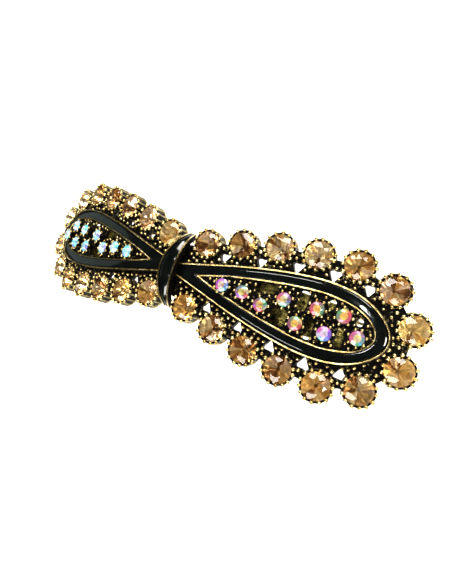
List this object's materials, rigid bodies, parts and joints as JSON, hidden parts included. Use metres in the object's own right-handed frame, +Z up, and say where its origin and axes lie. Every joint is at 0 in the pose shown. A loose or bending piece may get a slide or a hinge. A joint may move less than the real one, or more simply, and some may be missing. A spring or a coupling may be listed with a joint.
{
  "type": "hair clip",
  "caption": "Arched bow-shaped hair barrette: a pierced antique-gold casting with glass stones and black enamel loops, on a sprung clip with a hinged arm and a pinch catch.",
  "frame": {"origin": "centre of the bounding box's footprint, on the plane that the clip stands on with its stones up", "axes": "+X along the clip towards the catch, +Y across it, +Z up out of the jewelled face"},
  "size_m": [0.113, 0.0338, 0.0206],
  "materials": {
    "antique_gold": "antique gold plate with black patina in the recesses",
    "black_enamel": "glossy poured enamel",
    "champagne_glass": "foiled, cut glass",
    "aurora_glass": "foiled, cut glass with a colour-changing film",
    "gilt_steel": "dull gold-washed spring steel",
    "spring_steel": "dull gold-washed spring steel, thin leaf"
  },
  "bodies": {
    "ornament": {"aurora_stone_left_01": "aurora_glass", "aurora_stone_left_02": "aurora_glass", "aurora_stone_left_03": "aurora_glass", "aurora_stone_left_04": "aurora_glass", "aurora_stone_left_05": "aurora_glass", "aurora_stone_left_06": "aurora_glass", "aurora_stone_left_07": "aurora_glass", "aurora_stone_left_08": "aurora_glass", "aurora_stone_left_09": "aurora_glass", "aurora_stone_right_01": "aurora_glass", "aurora_stone_right_02": "aurora_glass", "aurora_stone_right_03": "aurora_glass", "aurora_stone_right_04": "aurora_glass", "aurora_stone_right_05": "aurora_glass", "aurora_stone_right_06": "aurora_glass", "aurora_stone_right_07": "aurora_glass", "aurora_stone_right_08": "aurora_glass", "aurora_stone_right_09": "aurora_glass", "bar_rivets": "gilt_steel", "base_bar": "gilt_steel", "catch_plate": "gilt_steel", "champagne_stone_left_01": "champagne_glass", "champagne_stone_left_02": "champagne_glass", "champagne_stone_left_03": "champagne_glass", "champagne_stone_left_04": "champagne_glass", "champagne_stone_left_05": "champagne_glass", "champagne_stone_left_06": "champagne_glass", "champagne_stone_left_07": "champagne_glass", "champagne_stone_left_08": "champagne_glass", "champagne_stone_left_09": "champagne_glass", "champagne_stone_left_10": "champagne_glass", "champagne_stone_left_11": "champagne_glass", "champagne_stone_left_12": "champagne_glass", "champagne_stone_left_13": "champagne_glass", "champagne_stone_left_14": "champagne_glass", "champagne_stone_right_01": "champagne_glass", "champagne_stone_right_02": "champagne_glass", "champagne_stone_right_03": "champagne_glass", "champagne_stone_right_04": "champagne_glass", "champagne_stone_right_05": "champagne_glass", "champagne_stone_right_06": "champagne_glass", "champagne_stone_right_07": "champagne_glass", "champagne_stone_right_08": "champagne_glass", "champagne_stone_right_09": "champagne_glass", "champagne_stone_right_10": "champagne_glass", "champagne_stone_right_11": "champagne_glass", "champagne_stone_right_12": "champagne_glass", "champagne_stone_right_13": "champagne_glass", "champagne_stone_right_14": "champagne_glass", "front_casting": "antique_gold", "hinge_pin": "gilt_steel", "knot_band": "antique_gold", "knot_enamel": "black_enamel", "ring_enamel_left": "black_enamel", "ring_enamel_right": "black_enamel", "tension_spring": "spring_steel"},
    "clasp_arm": {"clasp_arm": "gilt_steel"},
    "catch_leg_front": {"catch_leg_front": "gilt_steel"},
    "catch_leg_back": {"catch_leg_back": "gilt_steel"}
  },
  "joints": [
    {"name": "clasp_hinge", "type": "hinge", "parent": "ornament", "child": "clasp_arm", "pos_m": [-0.03754, 0, 0.0026], "axis": [0, 1, 0], "range_deg": [0, 80]},
    {"name": "catch_front_pinch", "type": "hinge", "parent": "ornament", "child": "catch_leg_front", "pos_m": [0.03874, -0.00225, 0.00898], "axis": [1, 0, 0], "range_deg": [0, 5], "stiffness_Nm_per_rad": 0.15},
    {"name": "catch_back_pinch", "type": "hinge", "parent": "ornament", "child": "catch_leg_back", "pos_m": [0.03874, 0.00225, 0.00898], "axis": [-1, 0, 0], "range_deg": [0, 5], "stiffness_Nm_per_rad": 0.15}
  ]
}
